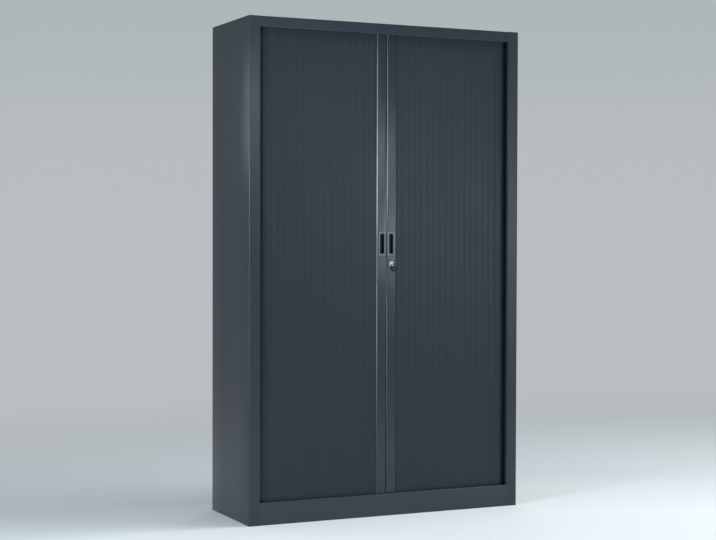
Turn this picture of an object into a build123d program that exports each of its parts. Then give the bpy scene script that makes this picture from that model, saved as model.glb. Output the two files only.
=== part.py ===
from build123d import *
import math
import os

os.makedirs("parts", exist_ok=True)

# Tall two-door tambour cupboard in folded sheet steel. Millimetres, +Z up,
# front facing -Y, origin at the centre of the footprint on the floor.

# ---------------------------------------------------------------- dimensions
W, D, H = 1200.0, 420.0, 1980.0  # outside width, depth, height
T = 1.0  # sheet thickness
XO = W / 2  # outer face of a side panel
YF, YB = -D / 2, D / 2  # front and back planes
STILE_W = 46.0  # face width of the side returns
RAIL_H = 42.5  # height of the top rail face
PLINTH_H = 88.0  # height of the front plinth
RET = 17.0  # depth of the front returns
R_BEND = 2.5  # outside bend radius
OPEN_X = XO - STILE_W  # half width of the front opening
TOP_Z = H - RAIL_H  # top of the front opening

PAN_Z = 70.0  # top of the base pan
CEIL_Z = 1956.0  # underside of the ceiling panel
LIN_X = 549.0  # channel side of the inner side panels
LIN_Y0, LIN_Y1 = -163.0, 172.0

# curtain track: a rounded rectangle seen from above
Y_RUN = -183.0  # centre line of the front run
X_RUN = 580.0  # centre line of the side runs
Y_REAR = 190.0  # centre line of the rear runs
R_ARC = 45.0  # corner radius on the centre line
REAR_LEN = 120.0  # length of each rear run
GROOVE = 9.5
WALL = 2.0
TRACK_H = 16.0
TRACK_FLOOR = 3.0
XC = X_RUN - R_ARC  # corner centre, X
YC_F = Y_RUN + R_ARC  # front corner centre, Y
YC_B = Y_REAR - R_ARC  # rear corner centre, Y

# slats
PITCH = 29.0
SLAT_T = 8.0
N_SLATS = 17
SLAT_Z0, SLAT_Z1 = 75.0, 1951.0
HINGE_0 = XC - N_SLATS * PITCH  # |x| of the hinge between curtain and stile

# closing stiles
ST_OUT, ST_IN = 44.2, 1.0  # |x| of the two flanks
ST_Y0, ST_Y1 = -192.0, -176.0
ST_Z0, ST_Z1 = 89.0, 1936.5
ST_WALL = 2.0
HANDLE_X, HANDLE_Z = 20.3, 1097.4
FRAME_W, FRAME_H = 31.5, 95.0
SLOT_W, SLOT_H = 16.4, 79.4
CUP_BACK = -182.0  # bottom of the finger cup

# lock
LOCK_X, LOCK_Z = 22.4, 1015.7
HOOK_Y0, HOOK_Y1 = -173.2, -170.2
KEY_TILT = math.radians(58)  # the folded bow hangs this far below horizontal

# shelves
SHELF_X = 543.0
SHELF_Y0, SHELF_Y1 = -158.0, 168.0
SHELF_T = 25.0
SLOT_Z0, SLOT_STEP, SLOT_N = 120.0, 25.0, 72
SHELF_SLOTS = (12, 27, 42, 57)
SHELF_TOPS = [SLOT_Z0 + SLOT_STEP * k + 21.0 for k in SHELF_SLOTS]
RACK_W, RACK_D = 24.0, 3.0
RACK_Y = (-120.0, 130.0)

# feet
FOOT_X, FOOT_Y = 520.0, 140.0
FOOT_R = 19.0
STEM_R = 5.0  # M10, pitch 1.5
PIN_R = 4.0  # the stem's plain end, which turns in the pad


# ------------------------------------------------------------------- helpers
def slab(x0, x1, y0, y1, z0, z1, mode=Mode.ADD):
    """A box given by its corners, inside a part block."""
    with Locations(((x0 + x1) / 2, (y0 + y1) / 2, (z0 + z1) / 2)):
        Box(abs(x1 - x0), abs(y1 - y0), abs(z1 - z0), mode=mode)


def folded(points, side, t=T):
    """Outline of a folded sheet whose show face follows points, with the
    metal on the left (side 1) or right (side -1) of the way they run, and
    (corner, on the outside of its bend) for every bend."""
    n = len(points)
    dirs = []
    for a, b in zip(points, points[1:]):
        length = math.hypot(b[0] - a[0], b[1] - a[1])
        dirs.append(((b[0] - a[0]) / length, (b[1] - a[1]) / length))
    inner = []
    for i, p in enumerate(points):
        if i in (0, n - 1):
            d = dirs[0] if i == 0 else dirs[-1]
            inner.append((p[0] - d[1] * side * t, p[1] + d[0] * side * t))
            continue
        a, b = dirs[i - 1], dirs[i]
        na, nb = (-a[1] * side, a[0] * side), (-b[1] * side, b[0] * side)
        k = t / (1 + na[0] * nb[0] + na[1] * nb[1])
        inner.append((p[0] + (na[0] + nb[0]) * k, p[1] + (na[1] + nb[1]) * k))
    bends = []
    for i in range(1, n - 1):
        a, b = dirs[i - 1], dirs[i]
        towards = (a[0] * b[1] - a[1] * b[0]) * side > 0
        bends += [(points[i], towards), (inner[i], not towards)]
    return points + inner[::-1], bends


def sheet_face(points, side, radius=R_BEND, t=T):
    """The face of a folded sheet, with rounded bends, inside a sketch block."""
    outline, bends = folded(points, side, t)
    with BuildSketch(Plane.XY, mode=Mode.PRIVATE) as section:
        with BuildLine():
            Polyline(*outline, close=True)
        make_face()
        for outside in (True, False):
            corners = [c for c, o in bends if o is outside]
            found = [
                v
                for v in section.vertices()
                if any(abs(v.X - c[0]) + abs(v.Y - c[1]) < 1e-4 for c in corners)
            ]
            fillet(found, radius if outside else radius - t)
    add(section.sketch_local)


# ------------------------------------------------------------------ carcass
# Side panel: one sheet with the front return, a short inner return and a rear
# return. Where the rails meet it the inner return is cut off flush.
with BuildPart() as left_side_panel:
    with BuildSketch(Plane.XY):
        sheet_face(
            [
                (-OPEN_X, YF + RET),
                (-OPEN_X, YF),
                (-XO, YF),
                (-XO, YB - T),
                (-XO + 20, YB - T),
            ],
            -1,
        )
    extrude(amount=H)
    for z0, z1 in ((0, PLINTH_H), (TOP_Z, H)):
        slab(-OPEN_X - 4, -OPEN_X + 1, YF - 1, YF + RET + 1, z0, z1, Mode.SUBTRACT)
        slab(-OPEN_X - 4, -OPEN_X, YF, YF + T, z0, z1)
    slab(-XO + T / 2, -XO + 20, -188, 188, 0, T)
left_side_panel.part.label = "left_side_panel"
export_step(left_side_panel.part, "parts/left_side_panel.step")

with BuildPart() as right_side_panel:
    mirror(left_side_panel.part, about=Plane.YZ)
right_side_panel.part.label = "right_side_panel"
export_step(right_side_panel.part, "parts/right_side_panel.step")

# Top panel: sheet with the front rail and its return, and flanges down.
with BuildPart() as top_panel:
    with BuildSketch(Plane.YZ.offset(-OPEN_X)):
        sheet_face(
            [
                (YF + RET, TOP_Z),
                (YF, TOP_Z),
                (YF, H),
                (YB - T, H),
                (YB - T, H - 15),
            ],
            -1,
        )
    extrude(amount=2 * OPEN_X)
    for s in (-1, 1):
        slab(s * (OPEN_X - 1), s * (XO - T), YF + T, YB - T - 3, H - T, H)
        slab(s * (XO - 2 * T), s * (XO - T), -188, 188, H - 16, H - T / 2)
    chamfer(
        top_panel.edges()
        .filter_by(Axis.Z)
        .filter_by(lambda e: abs(e.center().X) > XO - 1.5 and e.center().Y < YF + 2),
        1.5,
    )
top_panel.part.label = "top_panel"
export_step(top_panel.part, "parts/top_panel.step")

TRACK_HOLES = [(x, Y_RUN) for x in (-480, -320, -160, 0, 160, 320, 480)]
TRACK_HOLES += [(s * X_RUN, y) for s in (-1, 1) for y in (-110, 0, 115)]
TRACK_HOLES += [(s * (XC - 60), Y_REAR) for s in (-1, 1)]

# Ceiling panel: carries the top tracks, flanged up all round.
with BuildPart() as ceiling_panel:
    slab(-XO + 2 * T, XO - 2 * T, YF + T, YB - 2 * T, CEIL_Z, CEIL_Z + 7)
    slab(
        -XO + 3 * T,
        XO - 3 * T,
        YF + 2 * T,
        YB - 3 * T,
        CEIL_Z + T,
        CEIL_Z + 8,
        Mode.SUBTRACT,
    )
    fillet(
        ceiling_panel.edges().filter_by(Axis.Z).filter_by(lambda e: e.length > 6.5), 2.5
    )
    fillet(ceiling_panel.edges().filter_by(Axis.Z).filter_by(
        lambda e: 5.5 < e.length < 6.5), 1.5
    )
    with Locations(*[(x, y, CEIL_Z) for x, y in TRACK_HOLES]):
        Cylinder(1.7, 20, mode=Mode.SUBTRACT)
ceiling_panel.part.label = "ceiling_panel"
export_step(ceiling_panel.part, "parts/ceiling_panel.step")

# Front plinth: face with a return at the top and a foot flange.
with BuildPart() as front_plinth:
    with BuildSketch(Plane.YZ.offset(-OPEN_X)):
        sheet_face(
            [(YF + 20, 0), (YF, 0), (YF, PLINTH_H), (YF + RET, PLINTH_H)],
            -1,
            radius=2.0,
        )
    extrude(amount=2 * OPEN_X)
front_plinth.part.label = "front_plinth"
export_step(front_plinth.part, "parts/front_plinth.step")

# Base pan: carries the bottom tracks and the floor panel, flanged down.
with BuildPart() as base_pan:
    slab(-XO + T, XO - T, YF + T, YB - 2 * T, PAN_Z - 20, PAN_Z)
    slab(
        -XO + 2 * T,
        XO - 2 * T,
        YF + 2 * T,
        YB - 3 * T,
        PAN_Z - 21,
        PAN_Z - T,
        Mode.SUBTRACT,
    )
    fillet(
        base_pan.edges().filter_by(Axis.Z).filter_by(lambda e: e.length > 19.5), 2.5
    )
    fillet(
        base_pan.edges().filter_by(Axis.Z).filter_by(lambda e: 18 < e.length < 19.5),
        1.5,
    )
    with Locations(*[(x, y, PAN_Z) for x, y in TRACK_HOLES]):
        Cylinder(1.7, 10, mode=Mode.SUBTRACT)
    with Locations(
        *[(sx * FOOT_X, sy * FOOT_Y, PAN_Z) for sx in (-1, 1) for sy in (-1, 1)]
    ):
        Cylinder(7, 10, mode=Mode.SUBTRACT)
base_pan.part.label = "base_pan"
export_step(base_pan.part, "parts/base_pan.step")

# Back panel: flat sheet with a foot flange, riveted to the rear returns.
RIVET_AT = [(s * 590.0, z) for s in (-1, 1) for z in range(100, 1961, 310)]
with BuildPart() as back_panel:
    slab(-XO + 3, XO - 3, YB - T, YB, 0, H - 3)
    slab(-560, 560, YB - 20, YB - T / 2, 0, T)
    with BuildSketch(Plane.XZ.offset(-YB)):
        with Locations(*RIVET_AT):
            Circle(3.5)
    extrude(amount=2 * T, mode=Mode.SUBTRACT)
back_panel.part.label = "back_panel"
export_step(back_panel.part, "parts/back_panel.step")

with BuildPart() as back_panel_rivets:
    with BuildSketch(Plane.XZ.offset(-YB)):
        with Locations(*RIVET_AT):
            Circle(3.4)
    extrude(amount=T)
back_panel_rivets.part.label = "back_panel_rivets"
export_step(back_panel_rivets.part, "parts/back_panel_rivets.step")

# Inner side panels: hide the stored curtain and carry the shelf racks.
with BuildPart() as left_inner_panel:
    with BuildSketch(Plane.XY.offset(PAN_Z)):
        sheet_face(
            [
                (-LIN_X - 8, LIN_Y0),
                (-LIN_X + T, LIN_Y0),
                (-LIN_X + T, LIN_Y1),
                (-LIN_X - 8, LIN_Y1),
            ],
            1,
            radius=2.0,
        )
    extrude(amount=CEIL_Z - PAN_Z)
left_inner_panel.part.label = "left_inner_panel"
export_step(left_inner_panel.part, "parts/left_inner_panel.step")

with BuildPart() as right_inner_panel:
    mirror(left_inner_panel.part, about=Plane.YZ)
right_inner_panel.part.label = "right_inner_panel"
export_step(right_inner_panel.part, "parts/right_inner_panel.step")

with BuildPart() as inner_back_panel:
    slab(-556, 556, LIN_Y1, LIN_Y1 + T, PAN_Z, CEIL_Z)
inner_back_panel.part.label = "inner_back_panel"
export_step(inner_back_panel.part, "parts/inner_back_panel.step")

# Floor panel: upside-down tray on the base pan, with foot access holes.
FLOOR_OUT = [
    (-547.5, -162.0),
    (-528.0, -162.0),
    (-528.0, -175.5),
    (528.0, -175.5),
    (528.0, -162.0),
    (547.5, -162.0),
    (547.5, 171.5),
    (-547.5, 171.5),
]
FLOOR_IN = [
    (-546.5, -161.0),
    (-527.0, -161.0),
    (-527.0, -174.5),
    (527.0, -174.5),
    (527.0, -161.0),
    (546.5, -161.0),
    (546.5, 170.5),
    (-546.5, 170.5),
]
FOOT_AT = [(sx * FOOT_X, sy * FOOT_Y) for sx in (-1, 1) for sy in (-1, 1)]
with BuildPart() as floor_panel:
    with BuildSketch(Plane.XY.offset(PAN_Z)):
        with BuildLine():
            Polyline(*FLOOR_OUT, close=True)
        make_face()
    extrude(amount=PLINTH_H - PAN_Z)
    with BuildSketch(Plane.XY.offset(PAN_Z - 1)):
        with BuildLine():
            Polyline(*FLOOR_IN, close=True)
        make_face()
    extrude(amount=PLINTH_H - PAN_Z, mode=Mode.SUBTRACT)
    with Locations(*[(x, y, PLINTH_H) for x, y in FOOT_AT]):
        Cylinder(8, 10, mode=Mode.SUBTRACT)
floor_panel.part.label = "floor_panel"
export_step(floor_panel.part, "parts/floor_panel.step")

with BuildPart() as floor_hole_plugs:
    with Locations(*[(x, y, PLINTH_H + 0.6) for x, y in FOOT_AT]):
        Cylinder(10, 1.2)
    with Locations(*[(x, y, PLINTH_H - 2) for x, y in FOOT_AT]):
        Cylinder(7.9, 4)
    fillet(
        floor_hole_plugs.edges()
        .filter_by(GeomType.CIRCLE)
        .filter_by(lambda e: e.radius > 9)
        .group_by(Axis.Z)[-1],
        0.8,
    )
floor_hole_plugs.part.label = "floor_hole_plugs"
export_step(floor_hole_plugs.part, "parts/floor_hole_plugs.step")

# --------------------------------------------------------- racks and shelves
# Slotted racks stand on the inner side panels; the clips hook into them.
with BuildPart() as left_shelf_racks:
    for yc in RACK_Y:
        with BuildSketch(Plane.XY.offset(95)):
            sheet_face(
                [
                    (-LIN_X + T, yc - RACK_W / 2),
                    (-LIN_X + T + RACK_D, yc - RACK_W / 2),
                    (-LIN_X + T + RACK_D, yc + RACK_W / 2),
                    (-LIN_X + T, yc + RACK_W / 2),
                ],
                1,
                radius=1.5,
            )
        extrude(amount=1930 - 95)
    with BuildSketch(Plane.YZ.offset(-LIN_X + T + RACK_D - 2)):
        with Locations(
            *[(yc, SLOT_Z0 + SLOT_STEP * k) for yc in RACK_Y for k in range(SLOT_N)]
        ):
            Rectangle(3.4, 12)
    extrude(amount=3, mode=Mode.SUBTRACT)
left_shelf_racks.part.label = "left_shelf_racks"
export_step(left_shelf_racks.part, "parts/left_shelf_racks.step")

with BuildPart() as right_shelf_racks:
    mirror(left_shelf_racks.part, about=Plane.YZ)
right_shelf_racks.part.label = "right_shelf_racks"
export_step(right_shelf_racks.part, "parts/right_shelf_racks.step")

for number, top in enumerate(SHELF_TOPS, 1):
    with BuildPart() as shelf:
        with BuildSketch(Plane.YZ.offset(-SHELF_X)):
            sheet_face(
                [
                    (SHELF_Y0 + 12, top - SHELF_T),
                    (SHELF_Y0, top - SHELF_T),
                    (SHELF_Y0, top),
                    (SHELF_Y1, top),
                    (SHELF_Y1, top - SHELF_T),
                    (SHELF_Y1 - 12, top - SHELF_T),
                ],
                -1,
                radius=2.0,
            )
        extrude(amount=2 * SHELF_X)
        for s in (-1, 1):
            slab(
                s * (SHELF_X - T),
                s * SHELF_X,
                SHELF_Y0 + 13,
                SHELF_Y1 - 13,
                top - SHELF_T,
                top - T / 2,
            )
    shelf.part.label = f"shelf_{number}"
    export_step(shelf.part, f"parts/shelf_{number}.step")

with BuildPart() as shelf_clips:
    face = LIN_X - T - RACK_D
    for s in (-1, 1):
        for yc in RACK_Y:
            for top in SHELF_TOPS:
                z = top - SHELF_T
                slab(s * face, s * (face - 1.2), yc - 8, yc + 8, z - 1.6, z + 12)
                slab(s * face, s * (face - 17), yc - 8, yc + 8, z - 1.6, z)
                slab(s * face, s * (face + 2), yc - 1.5, yc + 1.5, z, z + 8)
shelf_clips.part.label = "shelf_clips"
export_step(shelf_clips.part, "parts/shelf_clips.step")


# ------------------------------------------------------------------- tracks
def straight_track(x0, x1, y0, y1, z0, up, along_x):
    """A straight U track: its floor and two walls, open upwards or downwards."""
    zf = (z0, z0 + TRACK_FLOOR) if up else (z0 - TRACK_FLOOR, z0)
    zg = (z0 + TRACK_FLOOR, z0 + TRACK_H) if up else (z0 - TRACK_H, z0 - TRACK_FLOOR)
    slab(x0, x1, y0, y1, z0 if up else z0 - TRACK_H, z0 + TRACK_H if up else z0)
    if along_x:
        slab(x0, x1, y0 + WALL, y1 - WALL, zg[0], zg[1], Mode.SUBTRACT)
    else:
        slab(x0 + WALL, x1 - WALL, y0, y1, zg[0], zg[1], Mode.SUBTRACT)
    return zf


HALF = GROOVE / 2 + WALL
LEVELS = (("bottom", PAN_Z, True), ("top", CEIL_Z, False))
for level, z0, up in LEVELS:
    low = z0 if up else z0 - TRACK_H
    screw_z = z0
    # five straight lengths: front, two along the sides, two short rear ones
    with BuildPart() as straight_tracks:
        straight_track(-XC, XC, Y_RUN - HALF, Y_RUN + HALF, z0, up, True)
        for s in (-1, 1):
            x0, x1 = sorted((s * (X_RUN - HALF), s * (X_RUN + HALF)))
            straight_track(x0, x1, YC_F, YC_B, z0, up, False)
            x0, x1 = sorted((s * XC, s * (XC - REAR_LEN)))
            straight_track(x0, x1, Y_REAR - HALF, Y_REAR + HALF, z0, up, True)
        with Locations(*[(x, y, screw_z) for x, y in TRACK_HOLES]):
            Cylinder(1.5, 4, mode=Mode.SUBTRACT)
    straight_tracks.part.label = f"{level}_straight_tracks"
    export_step(straight_tracks.part, f"parts/{level}_straight_tracks.step")

    with BuildPart() as corner_tracks:
        for sx in (-1, 1):
            for sy, yc in ((-1, YC_F), (1, YC_B)):
                with BuildSketch(Plane.XY.offset(low)):
                    with Locations((sx * XC, yc)):
                        Circle(R_ARC + HALF)
                        Circle(R_ARC - HALF, mode=Mode.SUBTRACT)
                    with Locations((sx * (XC + 40), yc + sy * 40)):
                        Rectangle(80, 80, mode=Mode.INTERSECT)
                extrude(amount=TRACK_H)
        for sx in (-1, 1):
            for yc in (YC_F, YC_B):
                gz = z0 + TRACK_FLOOR if up else low - 1
                with BuildSketch(Plane.XY.offset(gz)):
                    with Locations((sx * XC, yc)):
                        Circle(R_ARC + GROOVE / 2)
                        Circle(R_ARC - GROOVE / 2, mode=Mode.SUBTRACT)
                extrude(amount=TRACK_H - TRACK_FLOOR + 1, mode=Mode.SUBTRACT)
    corner_tracks.part.label = f"{level}_corner_tracks"
    export_step(corner_tracks.part, f"parts/{level}_corner_tracks.step")

    head_z = z0 - T - 1.0 if up else z0 + T + 1.0
    with BuildPart() as track_screws:
        with Locations(*[(x, y, head_z) for x, y in TRACK_HOLES]):
            Cylinder(3.2, 2)
        shank_z = z0 - T + 1.2 if up else z0 + T - 1.2
        with Locations(*[(x, y, shank_z) for x, y in TRACK_HOLES]):
            Cylinder(1.45, 2.6)
    track_screws.part.label = f"{level}_track_screws"
    export_step(track_screws.part, f"parts/{level}_track_screws.step")

# --------------------------------------------------------------------- feet
with BuildPart() as foot_plates:
    for x, y in FOOT_AT:
        slab(x - 30, x + 30, y - 30, y + 30, PAN_Z - 4, PAN_Z - T)
    with Locations(*[(x, y, PAN_Z - 3) for x, y in FOOT_AT]):
        Cylinder(6, 10, mode=Mode.SUBTRACT)
foot_plates.part.label = "foot_plates"
export_step(foot_plates.part, "parts/foot_plates.step")

with BuildPart() as foot_nuts:
    with BuildSketch(Plane.XY.offset(PAN_Z - 24)):
        with Locations(*FOOT_AT):
            RegularPolygon(10, 6)
            Circle(STEM_R + 0.05, mode=Mode.SUBTRACT)
    extrude(amount=20)
foot_nuts.part.label = "foot_nuts"
export_step(foot_nuts.part, "parts/foot_nuts.step")

# Each foot is a pad that stands on the floor and an M10 stem that turns in it.
for name, (fx, fy) in zip(
    ("rear_left_foot", "front_left_foot", "rear_right_foot", "front_right_foot"),
    [(-FOOT_X, FOOT_Y), (-FOOT_X, -FOOT_Y), (FOOT_X, FOOT_Y), (FOOT_X, -FOOT_Y)],
):
    with BuildPart() as foot_pad:
        with Locations((fx, fy, 6)):
            Cylinder(FOOT_R, 8)
        chamfer(foot_pad.faces().sort_by(Axis.Z)[-1].edges(), 2.5)
        fillet(foot_pad.faces().sort_by(Axis.Z)[0].edges(), 1.0)
        with Locations((fx, fy, 8)):
            Cylinder(PIN_R + 0.05, 8, mode=Mode.SUBTRACT)
    foot_pad.part.label = f"{name}_pad"
    export_step(foot_pad.part, f"parts/{name}_pad.step")

    with BuildPart() as foot_stem:
        with Locations((fx, fy, 8)):
            Cylinder(PIN_R, 8)
        with Locations((fx, fy, 40)):
            Cylinder(STEM_R, 56)
        with BuildSketch(Plane.XY.offset(12)):
            with Locations((fx, fy)):
                RegularPolygon(9, 6)
        extrude(amount=6)
        slab(fx - 6, fx + 6, fy - 0.8, fy + 0.8, 66, 69, Mode.SUBTRACT)
    foot_stem.part.label = f"{name}_stem"
    export_step(foot_stem.part, f"parts/{name}_stem.step")


# ------------------------------------------------------------------ curtain
# A slat is a hollow extrusion with a bead on one edge and a socket on the
# other. Its frame has the socket at the origin, the bead at +X, front at -Y.
SLAT_OUT = [
    (-1.2, -4.0),
    (24.9, -4.0),
    (26.1, -2.8),
    (26.1, 1.0),
    (24.3, 4.0),
    (-0.4, 4.0),
    (-2.2, 1.0),
    (-2.2, -2.8),
]
MOUTH = [(0.4, 0.51), (-3.54, 3.59), (-4.5, -0.8), (0.0, -0.8)]


def slat_face(place):
    """One slat's section, standing at place, inside a sketch block."""
    with BuildSketch(Plane.XY, mode=Mode.PRIVATE) as section:
        with BuildLine():
            Polyline(*SLAT_OUT, close=True)
        make_face()
        with Locations((0, 0)):
            Circle(1.75, mode=Mode.SUBTRACT)
        with BuildLine():
            Polyline(*MOUTH, close=True)
        make_face(mode=Mode.SUBTRACT)
        for x0, x1 in ((3.2, 12.9), (14.1, 23.6)):
            with Locations(((x0 + x1) / 2, -0.1)):
                RectangleRounded(x1 - x0, 5.2, 0.8, mode=Mode.SUBTRACT)
        with Locations((27.4, 0)):
            Rectangle(3.2, 1.0)
        with Locations((PITCH, 0)):
            Circle(1.5)
    with Locations(place):
        add(section.sketch_local)


def notch(place):
    """The slat's ends are thinner at the back, to pass the corner track."""
    with Locations(place):
        for z0, z1 in ((SLAT_Z0 - 1, 87.5), (1938.5, SLAT_Z1 + 1)):
            with Locations((13.5, 3.5, (z0 + z1) / 2)):
                Box(34, 3.4, z1 - z0, mode=Mode.SUBTRACT)


with BuildPart() as left_curtain_slats:
    spots = [(-XC + PITCH * k, Y_RUN) for k in range(N_SLATS)]
    with BuildSketch(Plane.XY.offset(SLAT_Z0)):
        for x, y in spots:
            slat_face(Location((x, y)))
    extrude(amount=SLAT_Z1 - SLAT_Z0)
    for z0, z1 in ((SLAT_Z0 - 1, 87.5), (1938.5, SLAT_Z1 + 1)):
        slab(-XC - 5, -40, Y_RUN + 1.8, Y_RUN + 6, z0, z1, Mode.SUBTRACT)
left_curtain_slats.part.label = "left_curtain_slats"
export_step(left_curtain_slats.part, "parts/left_curtain_slats.step")

with BuildPart() as right_curtain_slats:
    mirror(left_curtain_slats.part, about=Plane.YZ)
right_curtain_slats.part.label = "right_curtain_slats"
export_step(right_curtain_slats.part, "parts/right_curtain_slats.step")

# The last two slats stand in the corner, each with both hinges on the arc.
with BuildPart() as left_corner_slats:
    step = 2 * math.asin(PITCH / 2 / R_ARC)
    for k in (0, 1):
        a = (k + 1) * step
        px = -XC - R_ARC * math.sin(a)
        py = YC_F - R_ARC * math.cos(a)
        turn = -math.degrees(step * (k + 0.5))
        with BuildSketch(Plane.XY.offset(SLAT_Z0)):
            slat_face(Location((px, py), turn))
        extrude(amount=SLAT_Z1 - SLAT_Z0)
        notch(Location((px, py, 0), (0, 0, turn)))
left_corner_slats.part.label = "left_corner_slats"
export_step(left_corner_slats.part, "parts/left_corner_slats.step")

with BuildPart() as right_corner_slats:
    mirror(left_corner_slats.part, about=Plane.YZ)
right_corner_slats.part.label = "right_corner_slats"
export_step(right_corner_slats.part, "parts/right_corner_slats.step")


# ------------------------------------------------------------ closing stiles
def stile_blank():
    """The left closing stile before any lock hole."""
    with BuildPart(mode=Mode.PRIVATE) as blank:
        with BuildSketch(Plane.XY.offset(ST_Z0)) as section:
            with BuildLine():
                Polyline(
                    (-ST_OUT, ST_Y0),
                    (-ST_IN, ST_Y0),
                    (-ST_IN, ST_Y1),
                    (-ST_OUT, ST_Y1),
                    close=True,
                )
            make_face()
            front = section.vertices().group_by(Axis.Y)[0].sort_by(Axis.X)
            fillet(front[0], 4.5)
            front = section.vertices().filter_by(
                lambda v: abs(v.X + ST_IN) < 1e-4 and abs(v.Y - ST_Y0) < 1e-4
            )
            fillet(front, 3.5)
            fillet(section.vertices().group_by(Axis.Y)[-1], 1.0)
            with Locations(((-38.4 - ST_IN - ST_WALL) / 2, (ST_Y0 + ST_Y1) / 2)):
                RectangleRounded(
                    38.4 - ST_IN - ST_WALL,
                    ST_Y1 - ST_Y0 - 2 * ST_WALL,
                    1.0,
                    mode=Mode.SUBTRACT,
                )
            with Locations((-HINGE_0, Y_RUN)):
                Circle(1.75, mode=Mode.SUBTRACT)
            with Locations((-HINGE_0 - 2.5, Y_RUN)):
                Rectangle(5, 1.6, mode=Mode.SUBTRACT)
        extrude(amount=ST_Z1 - ST_Z0)
        with Locations((-HANDLE_X, ST_Y0 + 1, HANDLE_Z)):
            Box(21, 4, 84, mode=Mode.SUBTRACT)
        with BuildSketch(Plane.XZ.offset(-ST_Y1 - 0.5)):
            with Locations((-HANDLE_X, HANDLE_Z - 25), (-HANDLE_X, HANDLE_Z + 25)):
                Circle(1.6)
        extrude(amount=3, mode=Mode.SUBTRACT)
    return blank.part


with BuildPart() as left_stile:
    add(stile_blank())
left_stile.part.label = "left_stile"
export_step(left_stile.part, "parts/left_stile.step")

with BuildPart() as right_stile:
    mirror(stile_blank(), about=Plane.YZ)
    with BuildSketch(Plane.XZ.offset(-ST_Y1 - 1)):
        with Locations((LOCK_X, LOCK_Z)):
            Circle(8.6)
    extrude(amount=20, mode=Mode.SUBTRACT)
right_stile.part.label = "right_stile"
export_step(right_stile.part, "parts/right_stile.step")

# Runners plug into the hollow ends and slide in the tracks.
with BuildPart() as left_stile_runners:
    for z_end, s in ((ST_Z0, -1), (ST_Z1, 1)):
        slab(-38.2, -3.2, -189.8, -178.2, z_end, z_end - s * 22)
    fillet(left_stile_runners.edges().filter_by(Axis.Z), 1.4)
    for z_end, s in ((ST_Z0, -1), (ST_Z1, 1)):
        slab(-40.2, -3.0, -187.0, -179.0, z_end, z_end + s * 14)
left_stile_runners.part.label = "left_stile_runners"
export_step(left_stile_runners.part, "parts/left_stile_runners.step")

with BuildPart() as right_stile_runners:
    mirror(left_stile_runners.part, about=Plane.YZ)
right_stile_runners.part.label = "right_stile_runners"
export_step(right_stile_runners.part, "parts/right_stile_runners.step")

# Finger cup: a frame on the stile's face with a cup through its front wall.
with BuildPart() as left_handle_shell:
    with BuildSketch(Plane.XZ.offset(-ST_Y0)):
        with Locations((-HANDLE_X, HANDLE_Z)):
            RectangleRounded(FRAME_W, FRAME_H, 2.5)
    extrude(amount=1.6)
    chamfer(left_handle_shell.faces().sort_by(Axis.Y)[0].edges(), 0.7)
    with BuildSketch(Plane.XZ.offset(-ST_Y0)):
        with Locations((-HANDLE_X, HANDLE_Z)):
            RectangleRounded(SLOT_W + 3.6, SLOT_H + 3.6, 4.8)
    extrude(amount=-(CUP_BACK + 1.8 - ST_Y0))
    with BuildSketch(Plane.XZ.offset(-CUP_BACK - 1.8)):
        with Locations((-HANDLE_X, HANDLE_Z - 25), (-HANDLE_X, HANDLE_Z + 25)):
            Circle(3.2)
    extrude(amount=-(ST_Y1 - ST_WALL - CUP_BACK - 1.8))
    with BuildSketch(Plane.XZ.offset(-ST_Y1 + ST_WALL)):
        with Locations((-HANDLE_X, HANDLE_Z - 25), (-HANDLE_X, HANDLE_Z + 25)):
            Circle(1.5)
    extrude(amount=2.6, mode=Mode.SUBTRACT)
    with BuildSketch(Plane.XZ.offset(-CUP_BACK)):
        with Locations((-HANDLE_X, HANDLE_Z)):
            RectangleRounded(SLOT_W, SLOT_H, 3.0)
    extrude(amount=20, mode=Mode.SUBTRACT)
left_handle_shell.part.label = "left_handle_shell"
export_step(left_handle_shell.part, "parts/left_handle_shell.step")

with BuildPart() as right_handle_shell:
    mirror(left_handle_shell.part, about=Plane.YZ)
right_handle_shell.part.label = "right_handle_shell"
export_step(right_handle_shell.part, "parts/right_handle_shell.step")

with BuildPart() as left_handle_screws:
    with BuildSketch(Plane.XZ.offset(-ST_Y1 - 1.8)):
        with Locations((-HANDLE_X, HANDLE_Z - 25), (-HANDLE_X, HANDLE_Z + 25)):
            Circle(3.0)
    extrude(amount=1.8)
    with BuildSketch(Plane.XZ.offset(-ST_Y1)):
        with Locations((-HANDLE_X, HANDLE_Z - 25), (-HANDLE_X, HANDLE_Z + 25)):
            Circle(1.45)
    extrude(amount=4.2)
left_handle_screws.part.label = "left_handle_screws"
export_step(left_handle_screws.part, "parts/left_handle_screws.step")

with BuildPart() as right_handle_screws:
    mirror(left_handle_screws.part, about=Plane.YZ)
right_handle_screws.part.label = "right_handle_screws"
export_step(right_handle_screws.part, "parts/right_handle_screws.step")

# Soft strip in the meeting gap, on the left stile.
with BuildPart() as closing_seal:
    slab(-ST_IN, 0.5, -187.0, -181.0, 92, 1933)
closing_seal.part.label = "closing_seal"
export_step(closing_seal.part, "parts/closing_seal.step")

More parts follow.
